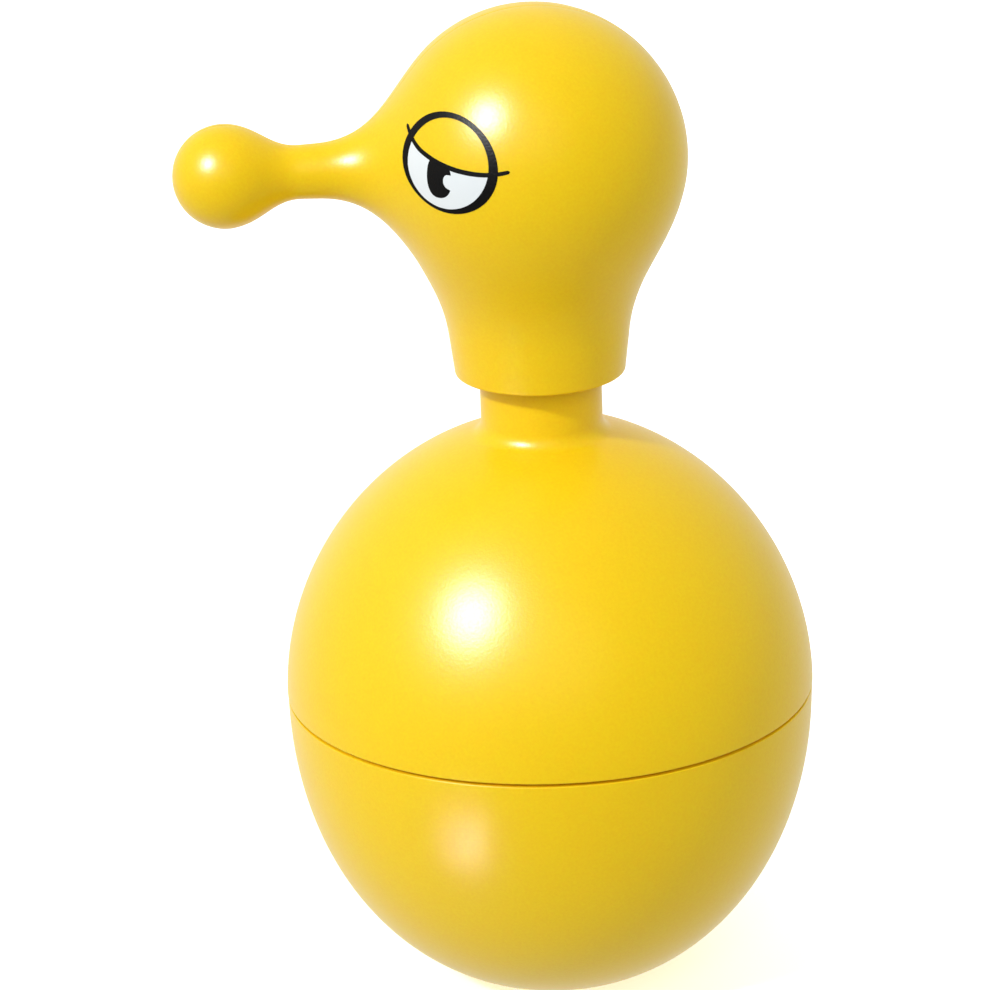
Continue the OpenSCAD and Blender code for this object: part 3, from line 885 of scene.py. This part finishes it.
@dataclass
class Oval:
    """A tilted ellipse in the eye's own plane; across runs towards the nose and up the head.

    Args:
        across: centre towards the nose.
        up: centre upwards.
        long: half of the long axis.
        short: half of the short axis.
        tilt_deg: how far the end towards the nose is raised.
    """

    across: float
    up: float
    long: float
    short: float
    tilt_deg: float

    def at(self, angle: Points) -> Points:
        """Points of the outline.

        Args:
            angle: angles from the long axis.

        Returns:
            Rows of (across, up).
        """
        tilt = math.radians(self.tilt_deg)
        a, b = self.long * np.cos(angle), self.short * np.sin(angle)
        x = self.across + a * math.cos(tilt) - b * math.sin(tilt)
        return joined(x, self.up + a * math.sin(tilt) + b * math.cos(tilt))


@dataclass
class Eyes:
    """Printed eyes: a drooping lid line across an oval outline, white below the lid, and a pupil.

    Each print is a film that follows the head, drawn in a plane that touches the head at the eye's middle
    and carried onto the surface along the plane's normal.
    """

    head: Head
    turn_deg: float = 41.0
    rise: float = 4.7
    outline: Oval = field(default_factory=lambda: Oval(0.2, -0.15, 10.2, 8.6, 17))
    inside: Oval = field(default_factory=lambda: Oval(0.3, -0.28, 8.6, 7.87, 11.5))
    lid_low: tuple[float, float] = (-5.9, -1.35)
    lid_bend: float = 0.019
    lid_ends: tuple[float, float] = (-11.8, 10.5)
    lid_curl: tuple[float, float] = (0.45, 1.65)
    lid_curl_start: float = 0.55
    lid_width: float = 0.85
    lid_taper: float = 0.65
    lid_round: float = 0.025
    pupil: Oval = field(default_factory=lambda: Oval(1.3, -3.3, 2.7, 3.1, 0))
    pupil_fullness: float = 2.3
    glint: tuple[float, float, float] = (-0.87, -3.45, 1.24)
    white_film: float = 0.03
    black_film: float = 0.06
    root: float = 0.05
    depth: float = 8.0
    beyond: float = 4.0
    middle: Points = field(init=False)
    out: Points = field(init=False)
    up: Points = field(init=False)
    fore: Points = field(init=False)

    def __post_init__(self) -> None:
        """Finds the eye's middle on the left side of the head, and the plane's directions there."""
        turn = math.radians(self.turn_deg)
        way = np.array([-math.sin(turn), -math.cos(turn), 0])
        start = np.array([0, 0, self.head.head_z + self.rise])
        self.middle = start + self.head.reach(start, way, np.array(self.head.far_mm), 0.0) * way
        self.out = self.head.normal(self.middle)
        level = np.array([0, 0, 1.0]) - self.out * self.out[2]
        self.up = level / np.linalg.norm(level)
        self.fore = np.cross(self.out, self.up)

    def lid(self, across: Points) -> Points:
        """Height of the lid's line at distances towards the nose.

        It is a parabola with its lowest point towards the back of the head, and the square of the way past
        the start of the curl is added at either end, so that the lashes turn up.

        Args:
            across: the distances.

        Returns:
            One height for each.
        """
        low, high = self.lid_ends
        share = (2 * across - low - high) / (high - low)
        past = np.maximum(np.abs(share) - self.lid_curl_start, 0) / (1 - self.lid_curl_start)
        curl = np.where(share < 0, *self.lid_curl) * past**2
        return self.lid_low[1] + self.lid_bend * (across - self.lid_low[0]) ** 2 + curl

    def carried(self, flat: Points, level: float) -> Points:
        """Points of the eye's plane carried onto the head at a height above its surface.

        Args:
            flat: points of the plane, two columns last.
            level: height above the surface.

        Returns:
            The points in the part's frame.
        """
        start = self.middle + flat[..., :1] * self.fore + flat[..., 1:] * self.up - self.depth * self.out
        way = np.broadcast_to(self.out, start.shape)
        far = np.full(start.shape[:-1], self.depth + self.beyond)
        return start + self.head.reach(start, way, far, level)[..., None] * way

    def film(self, flat: Points, level: float, closed: bool) -> Patch:
        """A closed film over a grid of plane points.

        A row goes across the film's face and back along its root, just under the head's surface, so that
        the film has sides.

        Args:
            flat: rows along the film by columns across it, by two.
            level: height of its face above the head.
            closed: whether the last row joins the first.

        Returns:
            The film on the left side of the head.
        """
        face, root = self.carried(flat, level), self.carried(flat, -self.root)
        if not closed:
            face = np.concatenate([root[:1], face, root[-1:]])
            root = np.concatenate([root[:1], root, root[-1:]])
        return Patch(np.concatenate([face, root[:, ::-1]], 1), wrap_rows=closed, wrap_columns=True)

    def outline_film(self) -> Patch:
        """The oval outline, thick where the two ovals lie far apart.

        Returns:
            Its film.
        """
        angle = np.linspace(0, 2 * np.pi, 160, endpoint=False)
        share = np.linspace(0, 1, 5)[None, :, None]
        inner, outer = self.inside.at(angle)[:, None], self.outline.at(angle)[:, None]
        return self.film(inner + (outer - inner) * share, self.black_film, True)

    def lid_film(self) -> Patch:
        """The lid's line, a band with tapered round ends that reach past the outline as lashes.

        Returns:
            Its film.
        """
        t = np.linspace(-1, 1, 90)
        low, high = self.lid_ends
        across = low + (high - low) * (t + 1) / 2
        height = self.lid(across)
        slope = np.gradient(height, across)
        length = np.sqrt(1 + slope**2)
        body = self.lid_taper + (1 - self.lid_taper) * np.sqrt(np.maximum(1 - t**2, 0))
        round_end = np.sqrt(np.clip((1 - np.abs(t)) / self.lid_round, 0, 1))
        half = self.lid_width / 2 * body * round_end
        share = np.linspace(-1, 1, 5)[None]
        x = across[:, None] + share * (half * slope / length)[:, None]
        y = height[:, None] - share * (half / length)[:, None]
        return self.film(joined(x, y), self.black_film, False)

    def pupil_film(self) -> Patch:
        """The pupil: an oval cut off by the lid, with a round glint taken out of its rear side.

        Returns:
            Its film.
        """
        t = np.linspace(0.0, 1.0, 48)
        low, lid = self.pupil.up - self.pupil.short, -1.0
        height = low + (lid - low) * t**1.5
        share = np.minimum(np.abs(height - self.pupil.up) / self.pupil.short, 1)
        reach = self.pupil.long * (1 - share**self.pupil_fullness) ** (1 / self.pupil_fullness)
        x, y, r = self.glint
        bite = x + np.sqrt(np.maximum(r**2 - (height - y) ** 2, 0))
        rear, fore = self.pupil.across - reach, self.pupil.across + reach
        rear = np.where(np.abs(height - y) < r, np.maximum(rear, bite), rear)
        share = np.linspace(0, 1, 17)[None]
        across = rear[:, None] + share * (fore - rear)[:, None]
        up = low + (self.lid(across) - low) * (height[:, None] - low) / (lid - low)
        return self.film(joined(across, up)[:, ::-1], self.black_film, False)

    def white_film_patch(self) -> Patch:
        """The white of the eye: what lies between the lid's line and the lower arc of the outline.

        Returns:
            Its film.
        """
        between = Oval(*np.add(astuple(self.inside), astuple(self.outline)) / 2)
        fine = between.at(np.linspace(np.pi, 2 * np.pi, 2000) + np.radians(np.linspace(-30, 40, 2000)))
        fine = fine[fine[:, 1] < self.lid(fine[:, 0])]
        run = np.linspace(0, len(fine) - 1, 90)
        arc = np.stack([np.interp(run, np.arange(len(fine)), fine[:, k]) for k in (0, 1)], -1)
        share = np.linspace(0, 1, 25)[None]
        y = arc[:, 1:] + share * (self.lid(arc[:, :1]) - arc[:, 1:])
        return self.film(joined(arc[:, :1], y)[:, ::-1], self.white_film, False)

    def build(self, white: Material, black: Material) -> None:
        """Makes both eyes; the right one mirrors the left.

        Args:
            white: the white ink.
            black: the black ink.
        """
        prints = {
            "outline": (self.outline_film(), black, "eye_print_black"),
            "lid": (self.lid_film(), black, "eye_print_black"),
            "pupil": (self.pupil_film(), black, "eye_print_black"),
            "white": (self.white_film_patch(), white, "eye_print_white"),
        }
        for part, (patch, ink, slot) in prints.items():
            place(mesh_object(f"eye_left_{part}", [patch], ink), "head", slot)
            mirrored = (patch.points * [1, -1, 1])[:, ::-1]
            other = Patch(mirrored, patch.wrap_rows, patch.wrap_columns)
            place(mesh_object(f"eye_right_{part}", [other], ink), "head", slot)


# ---- pump


@dataclass
class Pump:
    """The pump's pieces; those whose CAD shape is right keep it and get their finish."""

    turns: float = 6.0
    ground: float = 0.9
    flattest: float = 0.06
    wire: float = 0.45
    stroke: float = 9.0
    sides: int = 16
    steps: int = 64

    def dress(self, nodes: dict[str, Object], finishes: dict[str, Material]) -> None:
        """Gives each CAD node its material.

        Args:
            nodes: the frame's nodes by name.
            finishes: the material of each node by name.
        """
        for name, material in finishes.items():
            mesh = nodes[name].data
            mesh.materials.clear()
            mesh.materials.append(material)
            LOG.info("%s: %s", name, material.name)

    def spring(self, steel: Material) -> None:
        """The return spring: round wire along a helix whose end turns lie flat.

        The wire's centre is at the coil's radius, and rises with a smooth step from flat to pitch at
        either end.

        Args:
            steel: the wire's material.
        """
        low, high = box_mm("return_spring")
        wire, radius = self.wire, high[0] - self.wire
        turn = np.linspace(0, self.turns, int(self.turns * self.steps) + 1)
        slope = np.clip(np.minimum(turn, self.turns - turn) / self.ground, self.flattest, 1)
        rise = np.concatenate([[0], np.cumsum((slope[1:] + slope[:-1]) / 2)])
        z = low[2] + wire + (high[2] - low[2] - 2 * wire) * rise / rise[-1]
        a, b = 2 * np.pi * turn[:, None], np.linspace(0, 2 * np.pi, self.sides, endpoint=False)[None]
        size = wire * np.ones_like(turn)
        size[[0, -1]] = 0
        across, level = radius + size[:, None] * np.cos(b), z[:, None] + size[:, None] * np.sin(b)
        grid = joined(across * np.cos(a), across * np.sin(a), level)
        grid = np.concatenate([grid[:1], grid[1:2], grid[1:-1], grid[-2:-1], grid[-1:]])
        piece = mesh_object("spring_coil", [Patch(grid[:, ::-1], wrap_columns=True)], steel)
        place(piece, "top", "spring_steel", "return_spring")
        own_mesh(piece)


# ---- studio


@dataclass
class Lamp:
    """A light that faces a point of the dispenser's axis and that the camera doesn't see.

    A sun only shades; a disc only shows in the gloss.

    Args:
        name: its name.
        kind: "SUN" for parallel light, "AREA" for a disc.
        turn_deg: where it stands, 0 in front and growing to the dispenser's right in the view.
        rise_deg: where it stands above the horizon.
        strength: a sun's strength or a disc's watts.
        size: a sun's angle in degrees or a disc's diameter in metres.
        away: distance in metres.
        level: height in metres of the point that it faces.
        beam_deg: spread of a disc's light.
    """

    name: str
    kind: str
    turn_deg: float
    rise_deg: float
    strength: float
    size: float
    away: float = 1.0
    level: float = 0.1
    beam_deg: float = 180.0

    def build(self) -> None:
        """Puts the lamp into the scene."""
        data = bpy.data.lights.new(self.name, self.kind)
        data.energy = self.strength
        parallel = self.kind == "SUN"
        if parallel:
            data.angle = math.radians(self.size)
        else:
            data.shape, data.size, data.spread = "DISK", self.size, math.radians(self.beam_deg)
        turn, rise = math.radians(self.turn_deg), math.radians(self.rise_deg)
        way = Vector((math.sin(turn) * math.cos(rise), -math.cos(turn) * math.cos(rise), math.sin(rise)))
        made = linked(self.name, data)
        made.location = Vector((0, 0, self.level)) + self.away * way
        made.rotation_euler = way.to_track_quat("Z", "Y").to_euler()
        made.visible_camera, made.visible_glossy, made.visible_diffuse = False, not parallel, parallel


LAMPS = (
    # The key light's shading: parallel and small, so that the head's shadow on the neck is crisp.
    Lamp("key_sun", "SUN", -50.0, 39.0, strength=1.52, size=5.0),
    # A wide soft light from the front: the room is darker in front.
    Lamp("fill_sun", "SUN", 0.0, 30.0, strength=1.08, size=40.0),
    # The key light's reflection: one wide soft spot on every rounding that faces it.
    Lamp("key_softbox", "AREA", -50.0, 39.5, strength=80.0, size=0.53, away=1.5),
    # A small card low in front: a narrow beam that shows as a glow low on the body.
    Lamp("low_card", "AREA", -47.0, -35.6, 0.014, 0.036, away=0.628, level=0.03, beam_deg=16.0),
)


@dataclass
class Studio:
    """White room with its lamps, the floor, and the camera."""

    aim: tuple[float, float, float] = (-0.00897, 0.00078, 0.09293)
    eye: tuple[float, float, float] = (-0.07452, -0.74846, 0.36558)
    lens_mm: float = 158.86
    roll_deg: float = 2.0
    surroundings: float = 0.665
    surroundings_slope: tuple[float, float, float] = (-0.05, 0.45, -0.13)
    room_half: float = 20.0
    room_glow: float = 0.5
    floor_drop: float = 0.1

    def camera(self) -> None:
        """Puts the camera at its place, turned to its aim and rolled a little clockwise."""
        data = bpy.data.cameras.new("camera")
        data.lens, data.sensor_width = self.lens_mm, 36.0
        data.clip_start, data.clip_end = 0.01, 100.0
        forward = (Vector(self.aim) - Vector(self.eye)).normalized()
        right = forward.cross(Vector((0, 0, 1))).normalized()
        up = right.cross(forward)
        c, s = math.cos(math.radians(self.roll_deg)), math.sin(math.radians(self.roll_deg))
        axes = Matrix((right * c - up * s, right * s + up * c, -forward)).transposed()
        made = linked("camera", data)
        made.matrix_world = Matrix.Translation(self.eye) @ axes.to_4x4()
        bpy.context.scene.camera = made

    def floor(self) -> None:
        """A white floor just below the foot, with walls and a ceiling that only the camera sees."""
        half, low = self.room_half, -self.floor_drop * MM
        mesh = bpy.data.meshes.new("studio_floor")
        square = ((-half, -half), (half, -half), (half, half), (-half, half))
        corners = [(x, y, z) for z in (low, half) for x, y in square]
        walls = [(k, k + 4, (k + 1) % 4 + 4, (k + 1) % 4) for k in range(4)]
        mesh.from_pydata(corners, [], [(0, 1, 2, 3), (4, 7, 6, 5), *walls])
        paper = bpy.data.materials.new("paper_white_matt")
        paper.use_nodes = True
        shader = paper.node_tree.nodes["Principled BSDF"]
        feed(shader, {
            "Base Color": linear("#fbfbfa"), "Roughness": 0.9,
            "Emission Color": (1, 1, 1, 1), "Emission Strength": self.room_glow,
        })
        mesh.materials.append(paper)
        made = linked("studio_floor", mesh)
        made.visible_diffuse = made.visible_glossy = False
        made.visible_transmission = made.visible_shadow = False

    def room(self) -> World:
        """White surroundings: a mean strength plus a slope, brightest behind and below.

        Returns:
            The world.
        """
        made = bpy.data.worlds.new("white_room")
        made.use_nodes = True
        tree = made.node_tree
        way = add_node(tree, "TexCoord").outputs["Generated"]
        values = {0: way, 1: self.surroundings_slope}
        slope = add_node(tree, "VectorMath", values, operation="DOT_PRODUCT").outputs["Value"]
        strength = add_node(tree, "Math", {0: slope, 1: self.surroundings}, operation="ADD")
        feed(tree.nodes["Background"], {"Color": (1, 1, 1, 1), "Strength": strength.outputs[0]})
        return made

    def build(self) -> None:
        """Sets up the whole studio."""
        scene = bpy.context.scene
        scene.view_settings.view_transform = "Standard"
        scene.view_settings.look = "None"
        scene.world = self.room()
        self.camera()
        for lamp in LAMPS:
            lamp.build()
        self.floor()


def main(frame: dict[str, Any]) -> None:
    """Builds the dispenser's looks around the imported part.
    """
    logging.basicConfig(level=logging.INFO, format="%(name)s: %(message)s")
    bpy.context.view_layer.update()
    Studio().build()
    yellow = ABS_YELLOW.build()
    Body().build(yellow, RUBBER_RING.build(), RUBBER_PAD.build())
    head = Head()
    head.build(yellow)
    Eyes(head).build(INK_WHITE.build(), INK_BLACK.build())
    natural, acetal = PP_NATURAL.build(), ACETAL_WHITE.build()
    tube, ball = PE_TUBE.build(), STEEL_BALL.build()
    pump = Pump()
    pump.dress(frame["nodes"], {
        "neck_gasket": FOAM_WHITE.build(), "pump_housing": natural, "stem_guide": acetal,
        "neck_collar": acetal, "dip_tube": tube, "inlet_ball": ball, "piston": tube,
        "valve_spindle": natural, "pump_stem": natural, "outlet_ball": ball,
        "stem_socket": acetal, "spout_tube": tube, "nozzle_tip": natural,
    })
    pump.spring(STEEL_WIRE.build())


if __name__ == "__main__":
    main(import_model())
